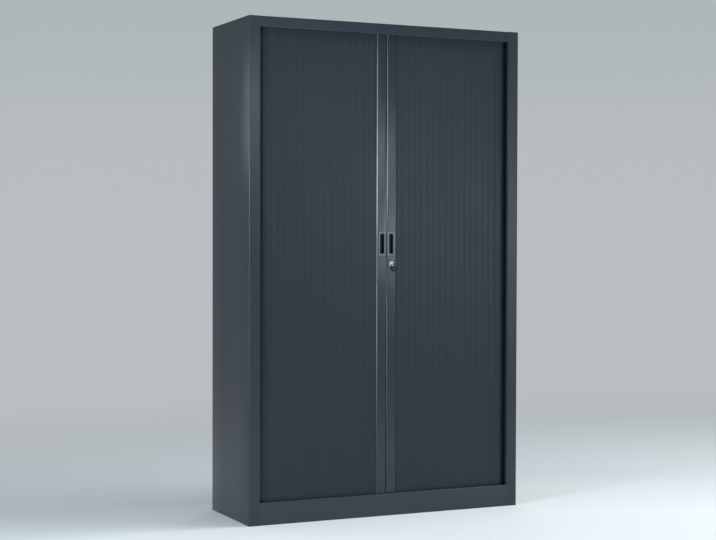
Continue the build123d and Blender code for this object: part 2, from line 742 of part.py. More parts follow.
# --------------------------------------------------------------------- lock
# Housing with a round rosette, clamped in the right stile by a flat nut.
with BuildPart() as lock_housing:
    with BuildSketch(Plane.XZ.offset(-ST_Y0)):
        with Locations((LOCK_X, LOCK_Z)):
            Circle(10.5)
    extrude(amount=2.5)
    fillet(
        lock_housing.faces().sort_by(Axis.Y)[0].edges().filter_by(GeomType.CIRCLE), 1.6
    )
    with BuildSketch(Plane.XZ.offset(-ST_Y0)):
        with Locations((LOCK_X, LOCK_Z)):
            Circle(8.5)
    extrude(amount=-(ST_Y1 + 2.2 - ST_Y0))
    with BuildSketch(Plane.XZ.offset(178)):
        with Locations((LOCK_X, LOCK_Z)):
            Circle(6.05)
    extrude(amount=30, mode=Mode.SUBTRACT)
    with BuildSketch(Plane.XZ.offset(170)):
        with Locations((LOCK_X, LOCK_Z)):
            Circle(4.05)
    extrude(amount=20, mode=Mode.SUBTRACT)
lock_housing.part.label = "lock_housing"
export_step(lock_housing.part, "parts/lock_housing.step")

with BuildPart() as lock_nut:
    with BuildSketch(Plane.XZ.offset(-ST_Y1 - 2.2)):
        with Locations((LOCK_X, LOCK_Z)):
            RegularPolygon(12, 6)
            Circle(8.52, mode=Mode.SUBTRACT)
    extrude(amount=2.2)
lock_nut.part.label = "lock_nut"
export_step(lock_nut.part, "parts/lock_nut.step")

# The key's own frame: x along the folded bow, y along its hinge pin, z out of
# the lock.
KEY = Plane(
    origin=(LOCK_X, 0, LOCK_Z),
    x_dir=(math.cos(KEY_TILT), 0, -math.sin(KEY_TILT)),
    z_dir=(0, -1, 0),
)
with BuildPart() as lock_barrel:
    with BuildSketch(KEY.offset(178.1)):
        Circle(6)
    extrude(amount=16.7)
    with BuildSketch(KEY.offset(165.5)):
        Circle(4)
    extrude(amount=13)
    with BuildSketch(KEY.offset(177.8)):
        Rectangle(2.3, 7.4)
    extrude(amount=20, mode=Mode.SUBTRACT)
lock_barrel.part.label = "lock_barrel"
export_step(lock_barrel.part, "parts/lock_barrel.step")

# Hook: hangs down when unlocked; a quarter turn swings it into the strike.
with BuildPart() as lock_hook:
    with BuildSketch(Plane.XZ.offset(-HOOK_Y1)) as hook_face:
        with Locations((LOCK_X, LOCK_Z)):
            Circle(8)
        with BuildLine():
            Polyline(
                (LOCK_X - 4, LOCK_Z),
                (LOCK_X + 4, LOCK_Z),
                (LOCK_X + 4, LOCK_Z - 42),
                (LOCK_X - 14, LOCK_Z - 42),
                (LOCK_X - 14, LOCK_Z - 36),
                (LOCK_X - 4, LOCK_Z - 36),
                close=True,
            )
        make_face()
        with Locations((LOCK_X, LOCK_Z)):
            Circle(4.02, mode=Mode.SUBTRACT)
    extrude(amount=HOOK_Y1 - HOOK_Y0)
lock_hook.part.label = "lock_hook"
export_step(lock_hook.part, "parts/lock_hook.step")

with BuildPart() as hook_nut:
    with BuildSketch(Plane.XZ.offset(-HOOK_Y1 - 3.4)):
        with Locations((LOCK_X, LOCK_Z)):
            RegularPolygon(7, 6)
            Circle(4.02, mode=Mode.SUBTRACT)
    extrude(amount=3.4)
hook_nut.part.label = "hook_nut"
export_step(hook_nut.part, "parts/hook_nut.step")

# Strike behind the left stile: a base with one wall for the hook to catch.
with BuildPart() as strike_plate:
    slab(-30, -8.6, ST_Y1, ST_Y1 + 1.5, LOCK_Z + 4.8, LOCK_Z + 44)
    slab(-11.6, -8.6, ST_Y1, ST_Y1 + 7.5, LOCK_Z + 4.8, LOCK_Z + 20)
    with BuildSketch(Plane.XZ.offset(-ST_Y1 - 2)):
        with Locations((-20, LOCK_Z + 34)):
            Circle(2.1)
    extrude(amount=4, mode=Mode.SUBTRACT)
strike_plate.part.label = "strike_plate"
export_step(strike_plate.part, "parts/strike_plate.step")

with BuildPart() as strike_screw:
    with BuildSketch(Plane.XZ.offset(-ST_Y1 - 3.3)):
        with Locations((-20, LOCK_Z + 34)):
            Circle(3.4)
    extrude(amount=1.8)
    with BuildSketch(Plane.XZ.offset(-ST_Y1 - 1.5)):
        with Locations((-20, LOCK_Z + 34)):
            Circle(2.0)
    extrude(amount=1.5)
strike_screw.part.label = "strike_screw"
export_step(strike_screw.part, "parts/strike_screw.step")

# ---------------------------------------------------------------------- key
KEY_W = 198.6  # height of the hinge pin over the key frame's origin
with BuildPart() as key_blade:
    with BuildSketch(KEY.offset(178.2)):
        Rectangle(2.0, 7.0)
    extrude(amount=KEY_W - 178.2)
    with BuildSketch(Plane(KEY.from_local_coords((0, -3.5, KEY_W)), x_dir=KEY.x_dir, z_dir=KEY.y_dir)):
        Circle(2.2)
    extrude(amount=7)
    with BuildSketch(Plane(KEY.from_local_coords((0, -5, KEY_W)), x_dir=KEY.x_dir, z_dir=KEY.y_dir)):
        Circle(1.02)
    extrude(amount=10, mode=Mode.SUBTRACT)
key_blade.part.label = "key_blade"
export_step(key_blade.part, "parts/key_blade.step")

with BuildPart() as key_pin:
    with BuildSketch(Plane(KEY.from_local_coords((0, -6.4, KEY_W)), x_dir=KEY.x_dir, z_dir=KEY.y_dir)):
        Circle(1.0)
    extrude(amount=12.8)
key_pin.part.label = "key_pin"
export_step(key_pin.part, "parts/key_pin.step")

with BuildPart() as key_bow:
    with BuildSketch(KEY.offset(KEY_W - 1.6)):
        with Locations((20.5, 0)):
            RectangleRounded(27, 23, 8)
        with Locations((24.5, 0)):
            RectangleRounded(8, 12, 3.9, mode=Mode.SUBTRACT)
    extrude(amount=3.2)
    with BuildSketch(KEY.offset(KEY_W - 1.6)):
        for v in (-5.25, 5.25):
            with Locations((4.6, v)):
                Rectangle(9.2, 2.5)
    extrude(amount=3.2)
    for v in (-6.5, 4.0):
        with BuildSketch(Plane(KEY.from_local_coords((0, v, KEY_W)), x_dir=KEY.x_dir, z_dir=KEY.y_dir)):
            Circle(2.4)
        extrude(amount=2.5)
    with BuildSketch(Plane(KEY.from_local_coords((0, -8, KEY_W)), x_dir=KEY.x_dir, z_dir=KEY.y_dir)):
        Circle(1.05)
    extrude(amount=16, mode=Mode.SUBTRACT)
key_bow.part.label = "key_bow"
export_step(key_bow.part, "parts/key_bow.step")
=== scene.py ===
import math

import bmesh
import bpy
from mathutils import Matrix, Quaternion, Vector


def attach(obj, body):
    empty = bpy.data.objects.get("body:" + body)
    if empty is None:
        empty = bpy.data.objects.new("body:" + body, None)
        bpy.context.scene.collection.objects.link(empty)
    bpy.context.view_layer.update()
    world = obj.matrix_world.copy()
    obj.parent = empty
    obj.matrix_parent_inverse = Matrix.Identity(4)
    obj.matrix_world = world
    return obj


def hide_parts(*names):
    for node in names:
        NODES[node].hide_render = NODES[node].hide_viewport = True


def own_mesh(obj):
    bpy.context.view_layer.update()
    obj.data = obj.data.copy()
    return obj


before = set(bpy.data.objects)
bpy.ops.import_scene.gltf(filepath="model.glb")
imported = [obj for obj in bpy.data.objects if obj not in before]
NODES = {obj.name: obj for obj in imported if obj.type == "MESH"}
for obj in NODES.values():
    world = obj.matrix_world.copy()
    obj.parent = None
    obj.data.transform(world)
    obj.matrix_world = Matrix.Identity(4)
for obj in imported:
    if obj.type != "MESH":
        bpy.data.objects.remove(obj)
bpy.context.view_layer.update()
scene = bpy.context.scene
MM = 0.001


# --------------------------------------------------------------- materials
class Shader:
    """A small helper round one material's node tree."""

    def __init__(self, name):
        self.material = bpy.data.materials.new(name)
        self.material.use_nodes = True
        self.tree = self.material.node_tree
        self.bsdf = self.tree.nodes["Principled BSDF"]
        self.coords = self.node("ShaderNodeTexCoord").outputs["Object"]

    def node(self, kind, **values):
        n = self.tree.nodes.new(kind)
        for key, value in values.items():
            setattr(n, key, value)
        return n

    def link(self, a, b):
        self.tree.links.new(a, b)

    def stretched(self, scale):
        m = self.node("ShaderNodeMapping")
        self.link(self.coords, m.inputs["Vector"])
        m.inputs["Scale"].default_value = scale
        return m.outputs["Vector"]

    def noise(self, vector, scale, detail=3.0, rough=0.5):
        n = self.node("ShaderNodeTexNoise")
        self.link(vector, n.inputs["Vector"])
        n.inputs["Scale"].default_value = scale
        n.inputs["Detail"].default_value = detail
        n.inputs["Roughness"].default_value = rough
        return n.outputs["Fac"]

    def remap(self, value, low, high, start=0.3, end=0.7):
        n = self.node("ShaderNodeMapRange")
        self.link(value, n.inputs["Value"])
        n.inputs["From Min"].default_value = start
        n.inputs["From Max"].default_value = end
        n.inputs["To Min"].default_value = low
        n.inputs["To Max"].default_value = high
        return n.outputs["Result"]

    def times(self, a, b):
        n = self.node("ShaderNodeMath", operation="MULTIPLY")
        self.link(a, n.inputs[0])
        if isinstance(b, float):
            n.inputs[1].default_value = b
        else:
            self.link(b, n.inputs[1])
        return n.outputs[0]

    def mix(self, factor, a, b):
        n = self.node("ShaderNodeMix", data_type="RGBA")
        if isinstance(factor, float):
            n.inputs["Factor"].default_value = factor
        else:
            self.link(factor, n.inputs["Factor"])
        for index, value in ((6, a), (7, b)):
            if isinstance(value, tuple):
                n.inputs[index].default_value = (*value, 1)
            else:
                self.link(value, n.inputs[index])
        return n.outputs[2]

    def bump(self, height, distance, strength=1.0, below=None):
        n = self.node("ShaderNodeBump")
        n.inputs["Strength"].default_value = strength
        n.inputs["Distance"].default_value = distance
        self.link(height, n.inputs["Height"])
        if below is not None:
            self.link(below, n.inputs["Normal"])
        return n.outputs["Normal"]

    def facing(self, axis):
        """How far the surface faces along a world axis, -1 to 1."""
        split = self.node("ShaderNodeSeparateXYZ")
        self.link(self.node("ShaderNodeNewGeometry").outputs["Normal"], split.inputs[0])
        return split.outputs[axis]

    def done(self, colour=None, rough=None, normal=None, metallic=None, **fixed):
        for name, value in (
            ("Base Color", colour),
            ("Roughness", rough),
            ("Normal", normal),
            ("Metallic", metallic),
        ):
            if value is None:
                continue
            if isinstance(value, float):
                self.bsdf.inputs[name].default_value = value
            elif isinstance(value, tuple):
                self.bsdf.inputs[name].default_value = (*value, 1)
            else:
                self.link(value, self.bsdf.inputs[name])
        for name, value in fixed.items():
            self.bsdf.inputs[name.replace("_", " ")].default_value = value
        return self.material


def tint(colour, k):
    return tuple(c * k for c in colour)


def powder_coat(name, colour, rough=0.42, dust=0.5, gloss=0.32, drawn=0.0):
    """Satin powder coat: orange peel, faint tone drift, dust on what faces up."""
    s = Shader(name)
    drift = s.noise(s.coords, 1.7, 4, 0.55)
    patch = s.noise(s.coords, 14, 4, 0.6)
    grain = s.noise(s.coords, 1500, 2)
    c = s.mix(s.remap(drift, 0.0, 1.0), tint(colour, 0.96), tint(colour, 1.04))
    c = s.mix(s.remap(grain, 0.0, 0.5), c, tint(colour, 1.22))
    settled = s.times(
        s.remap(s.facing("Z"), 0.0, 1.0, 0.6, 1.0), s.remap(patch, 0.02 * dust, 0.16 * dust)
    )
    c = s.mix(settled, c, (0.17, 0.18, 0.19))
    r = s.remap(patch, rough - 0.03, rough + 0.04)
    n = s.bump(s.noise(s.coords, 620, 2, 0.4), 0.00003, 0.45)
    n = s.bump(s.noise(s.coords, 2600, 1), 0.00001, 0.35, n)
    n = s.bump(s.noise(s.coords, 4.5, 1), 0.0012, 0.12, n)
    if drawn:
        # a folded side panel is drawn in a little towards its front and rear folds, and
        # the coat rounds the folds themselves
        split = s.node("ShaderNodeSeparateXYZ")
        s.link(s.coords, split.inputs[0])
        for axis, start, drop in (("Y", 0.08, drawn), ("Y", 0.207, 0.0013), ("X", 0.597, 0.0013)):
            off = s.node("ShaderNodeMath", operation="ABSOLUTE")
            s.link(split.outputs[axis], off.inputs[0])
            t = s.remap(off.outputs[0], 0.0, 1.0, start, 0.21 if axis == "Y" else 0.6)
            n = s.bump(s.times(t, t) if drop == drawn else t, -drop, 1.0, n)
    return s.done(c, r, n, Specular_IOR_Level=gloss)


def extruded_plastic(name, colour, rough, streak=0.5, gloss=0.5):
    """Extruded plastic with faint draw lines along the height."""
    s = Shader(name)
    lines = s.noise(s.stretched((900, 900, 1.2)), 1.0, 3, 0.6)
    broad = s.noise(s.stretched((70, 70, 0.6)), 1.0, 2)
    mottle = s.noise(s.coords, 9, 3)
    tone = s.node("ShaderNodeAttribute", attribute_name="tone")
    c = s.mix(s.remap(broad, 0.0, 1.0), tint(colour, 0.95), tint(colour, 1.05))
    c = s.mix(tone.outputs["Fac"], c, tint(colour, 1.2))
    c = s.mix(s.remap(lines, 0.0, 0.15), c, tint(colour, 1.5))
    r = s.remap(mottle, rough - 0.03, rough + 0.04)
    n = s.bump(lines, 0.00003, streak)
    n = s.bump(s.noise(s.coords, 1900, 1), 0.000015, 0.35, n)
    return s.done(c, r, n, Specular_IOR_Level=gloss)


def moulded(name, colour, rough, grain=2200.0, depth=0.00003, spec=0.5):
    """Moulded plastic with a fine spark-eroded grain."""
    s = Shader(name)
    patch = s.noise(s.coords, 40, 3)
    pits = s.noise(s.coords, grain, 2, 0.6)
    c = s.mix(s.remap(patch, 0.0, 1.0), tint(colour, 0.88), tint(colour, 1.12))
    c = s.mix(s.remap(pits, 0.0, 0.35), c, tint(colour, 1.4))
    r = s.remap(patch, rough - 0.04, rough + 0.06)
    return s.done(c, r, s.bump(pits, depth, 0.6), Specular_IOR_Level=spec)


def metal(name, colour, rough, scratch=0.35, blotch=0.0):
    """Plated metal with fine scratches, and plating blotches on zinc."""
    s = Shader(name)
    a = s.noise(s.stretched((300, 300, 5200)), 1.0, 3, 0.65)
    b = s.noise(s.stretched((5200, 300, 300)), 1.0, 3, 0.65)
    cloud = s.noise(s.coords, 90, 4, 0.6)
    c = s.mix(s.remap(cloud, 0.0, 1.0), tint(colour, 0.9 - blotch), tint(colour, 1.06))
    r = s.remap(cloud, rough - 0.05, rough + 0.09)
    n = s.bump(a, 0.00002, scratch)
    n = s.bump(b, 0.00002, scratch, n)
    return s.done(c, r, n, metallic=1.0)


ANTHRACITE = (0.0302, 0.0390, 0.0485)
M = {
    "paint": powder_coat("anthracite_powder_coat", ANTHRACITE, 0.23),
    "paint_side": powder_coat("anthracite_powder_coat_sides", ANTHRACITE, 0.23, drawn=0.0055),
    # painted light: a brighter copy of the same coat stands in for the extra light the plinth catches;
    # the rear rivet heads use it too
    "paint_lit": powder_coat("anthracite_powder_coat_plinth_lit", tint(ANTHRACITE, 1.16), 0.23),
    # painted light: a brighter copy of the same coat lifts the shaded inside; the heavier dust setting
    # is dust
    "paint_in_lit": powder_coat("anthracite_powder_coat_inside_lit", tint(ANTHRACITE, 1.2), 0.3, 0.8),
    "slat": extruded_plastic("slat_plastic", (0.0211, 0.0292, 0.0376), 0.36, 0.35, 0.28),
    "stile": extruded_plastic("stile_plastic", (0.026, 0.0345, 0.0435), 0.18, 0.35, 0.41),
    "frame": moulded("handle_frame_plastic", (0.125, 0.138, 0.16), 0.32, 2600.0, 0.00002, 0.5),
    "cup": moulded("handle_cup_plastic", (0.004, 0.008, 0.016), 0.5, spec=0.25),
    "track": moulded("track_plastic", (0.016, 0.017, 0.018), 0.48),
    "rubber": moulded("seal_rubber", (0.010, 0.010, 0.011), 0.72, 1500.0, 0.00005, 0.35),
    "grip": moulded("key_grip_plastic", (0.012, 0.013, 0.015), 0.40, spec=0.4),
    "zinc": metal("zinc_plate", (0.56, 0.57, 0.58), 0.34, 0.3, 0.12),
    "nickel": metal("nickel_plate", (0.80, 0.80, 0.74), 0.38, 0.22),
    "dark_steel": metal("keyway_dark_steel", (0.10, 0.10, 0.10), 0.45, 0.3),
}


# ------------------------------------------------------------ mesh helpers
def finish_mesh(bm, name, materials, body, smooth=32, weld=None):
    if weld:
        bmesh.ops.remove_doubles(bm, verts=bm.verts, dist=weld)
    bmesh.ops.recalc_face_normals(bm, faces=bm.faces)
    mesh = bpy.data.meshes.new(name)
    bm.to_mesh(mesh)
    bm.free()
    for m in materials:
        mesh.materials.append(m)
    mesh.polygons.foreach_set("use_smooth", [True] * len(mesh.polygons))
    mesh.set_sharp_from_angle(angle=math.radians(smooth))
    piece = bpy.data.objects.new(name, mesh)
    scene.collection.objects.link(piece)
    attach(piece, body)
    return piece


def rounded(w, h, r, steps=6):
    """Points of a rounded rectangle about the origin, anticlockwise."""
    r = min(r, w / 2 - 1e-4, h / 2 - 1e-4)
    out = []
    for cx, cy, a0 in (
        (w / 2 - r, h / 2 - r, 0),
        (-w / 2 + r, h / 2 - r, 90),
        (-w / 2 + r, -h / 2 + r, 180),
        (w / 2 - r, -h / 2 + r, 270),
    ):
        for k in range(steps + 1):
            a = math.radians(a0 + 90 * k / steps)
            out.append((cx + r * math.cos(a), cy + r * math.sin(a)))
    return out


def loft(bm, loops, cap_first=False, cap_last=False, material=0):
    """Walls between loops of equal length, each a list of points in metres."""
    rows = [[bm.verts.new(p) for p in loop] for loop in loops]
    made = []
    for a, b in zip(rows, rows[1:]):
        n = len(a)
        for i in range(n):
            j = (i + 1) % n
            made.append(bm.faces.new((a[i], a[j], b[j], b[i])))
    if cap_first:
        made.append(bm.faces.new(rows[0]))
    if cap_last:
        made.append(bm.faces.new(rows[-1]))
    for f in made:
        f.material_index = material
    return made


def prism(bm, outline, z0, z1, place=Matrix.Identity(4), material=0, tone=None, layer=None):
    """A closed outline in millimetres, extruded upwards."""
    made = loft(
        bm,
        [
            [place @ Vector((x * MM, y * MM, z * MM)) for x, y in outline]
            for z in (z0, z1)
        ],
        True,
        True,
        material,
    )
    if layer is not None:
        for f in made:
            for v in f.verts:
                v[layer] = tone


def arc(cx, cy, r, a0, a1, steps):
    return [
        (
            cx + r * math.cos(math.radians(a0 + (a1 - a0) * k / steps)),
            cy + r * math.sin(math.radians(a0 + (a1 - a0) * k / steps)),
        )
        for k in range(steps + 1)
    ]


# ------------------------------------------------- finishes of the CAD nodes
FINISH = {
    "paint": "top_panel back_panel back_panel_rivets",
    # the plinth takes the brightened copy of the coat (painted light)
    "paint_lit": "front_plinth",
    "paint_side": "left_side_panel right_side_panel",
    # the inside panels and shelves take the brightened copy of the coat (painted light)
    "paint_in_lit": "ceiling_panel base_pan left_inner_panel right_inner_panel inner_back_panel "
    "floor_panel left_shelf_racks right_shelf_racks shelf_1 shelf_2 shelf_3 shelf_4",
    "track": "bottom_straight_tracks bottom_corner_tracks top_straight_tracks "
    "top_corner_tracks left_stile_runners right_stile_runners",
    "grip": "floor_hole_plugs key_bow rear_left_foot_pad front_left_foot_pad "
    "rear_right_foot_pad front_right_foot_pad",
    "rubber": "closing_seal",
    "zinc": "top_track_screws bottom_track_screws shelf_clips foot_plates foot_nuts "
    "left_handle_screws right_handle_screws lock_nut lock_hook hook_nut strike_plate "
    "strike_screw rear_left_foot_stem front_left_foot_stem rear_right_foot_stem "
    "front_right_foot_stem",
    "cup": "left_handle_shell right_handle_shell",
    "stile": "left_stile right_stile",
    "slat": "left_curtain_slats right_curtain_slats left_corner_slats right_corner_slats",
    "nickel": "lock_housing lock_barrel key_blade key_pin",
}
for material, names in FINISH.items():
    for node in names.split():
        mesh = NODES[node].data
        mesh.materials.clear()
        mesh.materials.append(M[material])
        mesh.polygons.foreach_set("use_smooth", [True] * len(mesh.polygons))
        mesh.set_sharp_from_angle(angle=math.radians(28))

# ----------------------------------------------------------------- curtain
PITCH, X_END, Y_RUN, R_ARC = 29.0, 535.0, -183.0, 45.0
SLATS, Z0, Z1 = 17, 75.0, 1951.0


def slat_outline():
    """One slat seen from above: crowned face, tight shoulders, tongue and socket."""
    out = arc(-1.05, -3.05, 0.35, 180, 262, 3)
    out += [
        (x, -3.4 - 0.38 * (1 - ((x - 12.95) / 14.0) ** 2))
        for x in (0.2, 1.9, 4.1, 6.3, 8.5, 10.7, 12.95, 15.2, 17.4, 19.6, 21.8, 24.0, 25.7)
    ]
    out += arc(26.95, -3.05, 0.35, 278, 360, 3)
    out += [(27.3, -2.95), (28.9, -2.95), (28.9, -1.9), (27.3, -1.9), (27.3, 2.6)]
    out += [(26.2, 4.0), (0.0, 4.0), (-1.0, 2.6), (-1.0, -1.6), (0.2, -1.6), (0.2, -2.9)]
    out += [(-1.4, -2.9)]
    return out


SLAT = slat_outline()


def tone_of(k):
    return 0.5 + 0.5 * math.sin(k * 12.9898 + 4.1) * math.cos(k * 3.7)


def curtain(side):
    """The straight part of one curtain; side is -1 on the left."""
    word = "left" if side < 0 else "right"
    bm = bmesh.new()
    layer = bm.verts.layers.float.new("tone")
    for k in range(SLATS):
        x = -X_END + PITCH * k
        place = Matrix.Translation((x * MM, Y_RUN * MM, 0))
        if side > 0:
            place = Matrix.Diagonal((-1, 1, 1, 1)) @ place
        prism(bm, SLAT, Z0, Z1, place, 0, 0.22 * tone_of(k + 31 * (side + 1)), layer)
    piece = finish_mesh(bm, f"{word}_curtain", [M["slat"]], f"{word}_door", 40)
    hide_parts(f"{word}_curtain_slats")
    a = side * (X_END - SLATS * PITCH) * MM
    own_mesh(piece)
    bm = bmesh.new()
    layer = bm.verts.layers.float.new("tone")
    step = 2 * math.asin(PITCH / 2 / R_ARC)
    for k in (0, 1):
        a = (k + 1) * step
        px = -X_END - R_ARC * math.sin(a)
        py = Y_RUN + R_ARC - R_ARC * math.cos(a)
        place = Matrix.Translation((px * MM, py * MM, 0)) @ Matrix.Rotation(
            -step * (k + 0.5), 4, "Z"
        )
        if side > 0:
            place = Matrix.Diagonal((-1, 1, 1, 1)) @ place
        prism(bm, SLAT, Z0, Z1, place, 0, 0.22 * tone_of(k + 60), layer)
    piece = finish_mesh(bm, f"{word}_curtain_tail", [M["slat"]], "cabinet", 40)
    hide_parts(f"{word}_corner_slats")


curtain(-1)
curtain(1)

# ---------------------------------------------------------- closing stiles
HANDLE_X, HANDLE_Z = 20.3, 1097.4
POCKET_W, POCKET_H, POCKET_Y = 10.2, 41.7, -179.9


def stile(side):
    """One closing stile: chamfered edges, a faint drawn line, pocket for the cup."""
    word = "left" if side < 0 else "right"
    outline = arc(-43.7, -188.0, 0.5, 180, 225, 3)
    outline += arc(-40.25, -191.5, 0.5, 225, 270, 3)
    outline += [(-39.0, -192.0), (-38.85, -192.0), (-38.5, -191.95), (-38.15, -192.0), (-38.0, -192.0)]
    first = len(outline)
    outline += [(-HANDLE_X - POCKET_W, -192.0), (-HANDLE_X + POCKET_W, -192.0)]
    outline += arc(-3.75, -191.5, 0.5, 270, 315, 3)
    outline += arc(-1.5, -189.25, 0.5, 315, 360, 3)
    outline += arc(-1.6, -176.6, 0.6, 0, 90, 3)
    outline += arc(-43.6, -176.6, 0.6, 90, 180, 3)
    n = len(outline)
    flip = Matrix.Identity(4) if side < 0 else Matrix.Diagonal((-1, 1, 1, 1))
    bm = bmesh.new()
    levels = (89.0, 89.5, HANDLE_Z - POCKET_H, HANDLE_Z + POCKET_H, 1936.0, 1936.5)
    rows = []
    for z in levels:
        pull = 0.5 if z in (levels[0], levels[-1]) else 0.0
        row = []
        for x, y in outline:
            # the cut ends are broken by half a millimetre
            cx = x + pull * (1 if x < -22.6 else -1) * (abs(x + 22.6) / 21.6)
            cy = y + pull * (1 if y < -184 else -1) * (abs(y + 184) / 8)
            row.append(bm.verts.new(flip @ Vector((cx * MM, cy * MM, z * MM))))
        rows.append(row)
    for level, (a, b) in enumerate(zip(rows, rows[1:])):
        for i in range(n):
            if level == 2 and i == first:
                continue
            j = (i + 1) % n
            bm.faces.new((a[i], a[j], b[j], b[i]))
    bm.faces.new(rows[0])
    bm.faces.new(rows[-1])
    mouth = [rows[2][first], rows[2][first + 1], rows[3][first + 1], rows[3][first]]
    back = [bm.verts.new((v.co.x, POCKET_Y * MM, v.co.z)) for v in mouth]
    for i in range(4):
        j = (i + 1) % 4
        bm.faces.new((mouth[i], mouth[j], back[j], back[i]))
    bm.faces.new(back)
    piece = finish_mesh(bm, f"{word}_closing_stile", [M["stile"]], f"{word}_door", 30)
    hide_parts(f"{word}_stile")


stile(-1)
stile(1)


def handle(side):
    """Finger cup: bevelled frame, rounded mouth, drafted cup with a solid back."""
    word = "left" if side < 0 else "right"
    cx, cz = side * HANDLE_X, HANDLE_Z

    def ring(w, h, r, y):
        return [
            Vector(((cx + px) * MM, y * MM, (cz + pz) * MM)) for px, pz in rounded(w, h, r)
        ]

    bm = bmesh.new()
    mouth = ring(18.3, 81.1, 6.2, -193.25)
    loft(
        bm,
        [
            ring(20.0, 83.0, 6.6, -180.2),
            ring(20.0, 83.0, 6.6, -192.0),
            ring(31.5, 95.0, 2.5, -192.0),
            ring(31.5, 95.0, 2.5, -192.9),
            ring(31.1, 94.6, 2.4, -193.3),
            ring(30.3, 93.8, 2.1, -193.55),
            ring(29.9, 93.4, 1.9, -193.6),
            ring(19.8, 82.6, 6.6, -193.6),
            ring(19.0, 81.8, 6.4, -193.5),
            mouth,
        ],
        cap_first=True,
        material=0,
    )
    loft(
        bm,
        [
            mouth,
            ring(17.0, 79.8, 5.8, -192.3),
            ring(16.4, 79.2, 5.6, -190.6),
            ring(15.4, 78.0, 5.2, -184.0),
            ring(14.4, 77.0, 4.8, -182.6),
            ring(12.4, 75.0, 4.0, -182.0),
        ],
        cap_last=True,
        material=1,
    )
    piece = finish_mesh(
        bm, f"{word}_finger_cup", [M["frame"], M["cup"]], f"{word}_door", 30, 1e-6
    )
    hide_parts(f"{word}_handle_shell")


handle(-1)
handle(1)

# -------------------------------------------------------------- back panel
BEADS = [(x, 150.0, 1830.0) for x in (-390.0, -130.0, 130.0, 390.0)]


def back_sheet():
    """Rear sheet: pressed stiffening beads, broken rim, foot flange."""

    def spread(low, high, marks, reach, fine, coarse):
        out = {low, low + 0.5, low + 1.2, high - 1.2, high - 0.5, high}
        for m in marks:
            k = -reach
            while k <= reach:
                out.add(m + k)
                k += fine
        k = low
        while k < high:
            if all(abs(k - m) > reach for m in marks):
                out.add(k)
            k += coarse
        return sorted(v for v in out if low <= v <= high)

    xs = spread(-597.0, 597.0, [b[0] for b in BEADS], 8.0, 1.0, 65.0)
    zs = spread(0.0, 1977.0, [BEADS[0][1], BEADS[0][2]], 9.0, 1.0, 90.0)

    def depth(x, z):
        sunk = 0.0
        for bx, z0, z1 in BEADS:
            d = math.hypot(x - bx, max(z0 - z, 0.0, z - z1))
            if d < 7.5:
                t = min(1.0, (7.5 - d) / 5.0)
                sunk = 1.7 * t * t * (3 - 2 * t)
        rim = min(597.0 - abs(x), z, 1977.0 - z)
        return sunk + 0.3 * max(0.0, 1 - rim / 0.6) ** 2

    bm = bmesh.new()
    outer = [[bm.verts.new((x * MM, (209.6 - depth(x, z)) * MM, z * MM)) for x in xs] for z in zs]
    inner = [
        [bm.verts.new((x * MM, (min(209.1, 209.15 - depth(x, z))) * MM, z * MM)) for x in xs]
        for z in zs
    ]
    for rows in (outer, inner):
        for a, b in zip(rows, rows[1:]):
            for i in range(len(xs) - 1):
                bm.faces.new((a[i], a[i + 1], b[i + 1], b[i]))
    for a, b in ((outer[0], inner[0]), (outer[-1], inner[-1])):
        for i in range(len(xs) - 1):
            bm.faces.new((a[i], a[i + 1], b[i + 1], b[i]))
    for i in (0, -1):
        for k in range(len(zs) - 1):
            bm.faces.new((outer[k][i], outer[k + 1][i], inner[k + 1][i], inner[k][i]))
    loft(
        bm,
        [
            [Vector((x * MM, y * MM, z * MM)) for y, z in ((190.0, 0.05), (209.2, 0.05), (209.2, 1.0), (190.5, 1.0), (190.0, 0.6))]
            for x in (-560.0, 560.0)
        ],
        True,
        True,
    )
    piece = finish_mesh(bm, "rear_sheet", [M["paint"]], "cabinet", 30)
    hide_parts("back_panel")
    bm = bmesh.new()
    for side in (-1, 1):
        for z in range(100, 1961, 310):
            loft(
                bm,
                [
                    [
                        Vector(
                            (
                                (side * 590 + r * math.cos(math.radians(a))) * MM,
                                y * MM,
                                (z + r * math.sin(math.radians(a))) * MM,
                            )
                        )
                        for a in range(0, 360, 15)
                    ]
                    for r, y in (
                        (3.4, 209.0),
                        (3.5, 209.6),
                        (3.3, 209.78),
                        (2.6, 209.93),
                        (1.5, 209.99),
                        (1.15, 209.98),
                        (0.95, 209.6),
                    )
                ],
                True,
                True,
            )
    # the rivet heads take the brightened copy of the coat (painted light)
    piece = finish_mesh(bm, "rear_rivets", [M["paint_lit"]], "cabinet", 30)
    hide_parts("back_panel_rivets")


back_sheet()

# --------------------------------------------------------------------- key
TILT = math.radians(58)
KC, KS = math.cos(TILT), math.sin(TILT)
KEY = Matrix(
    (
        (KC, KS, 0, 0.0224),
        (0, 0, -1, 0),
        (-KS, KC, 0, 1.0157),
        (0, 0, 0, 1),
    )
)
KEY_W = 198.6


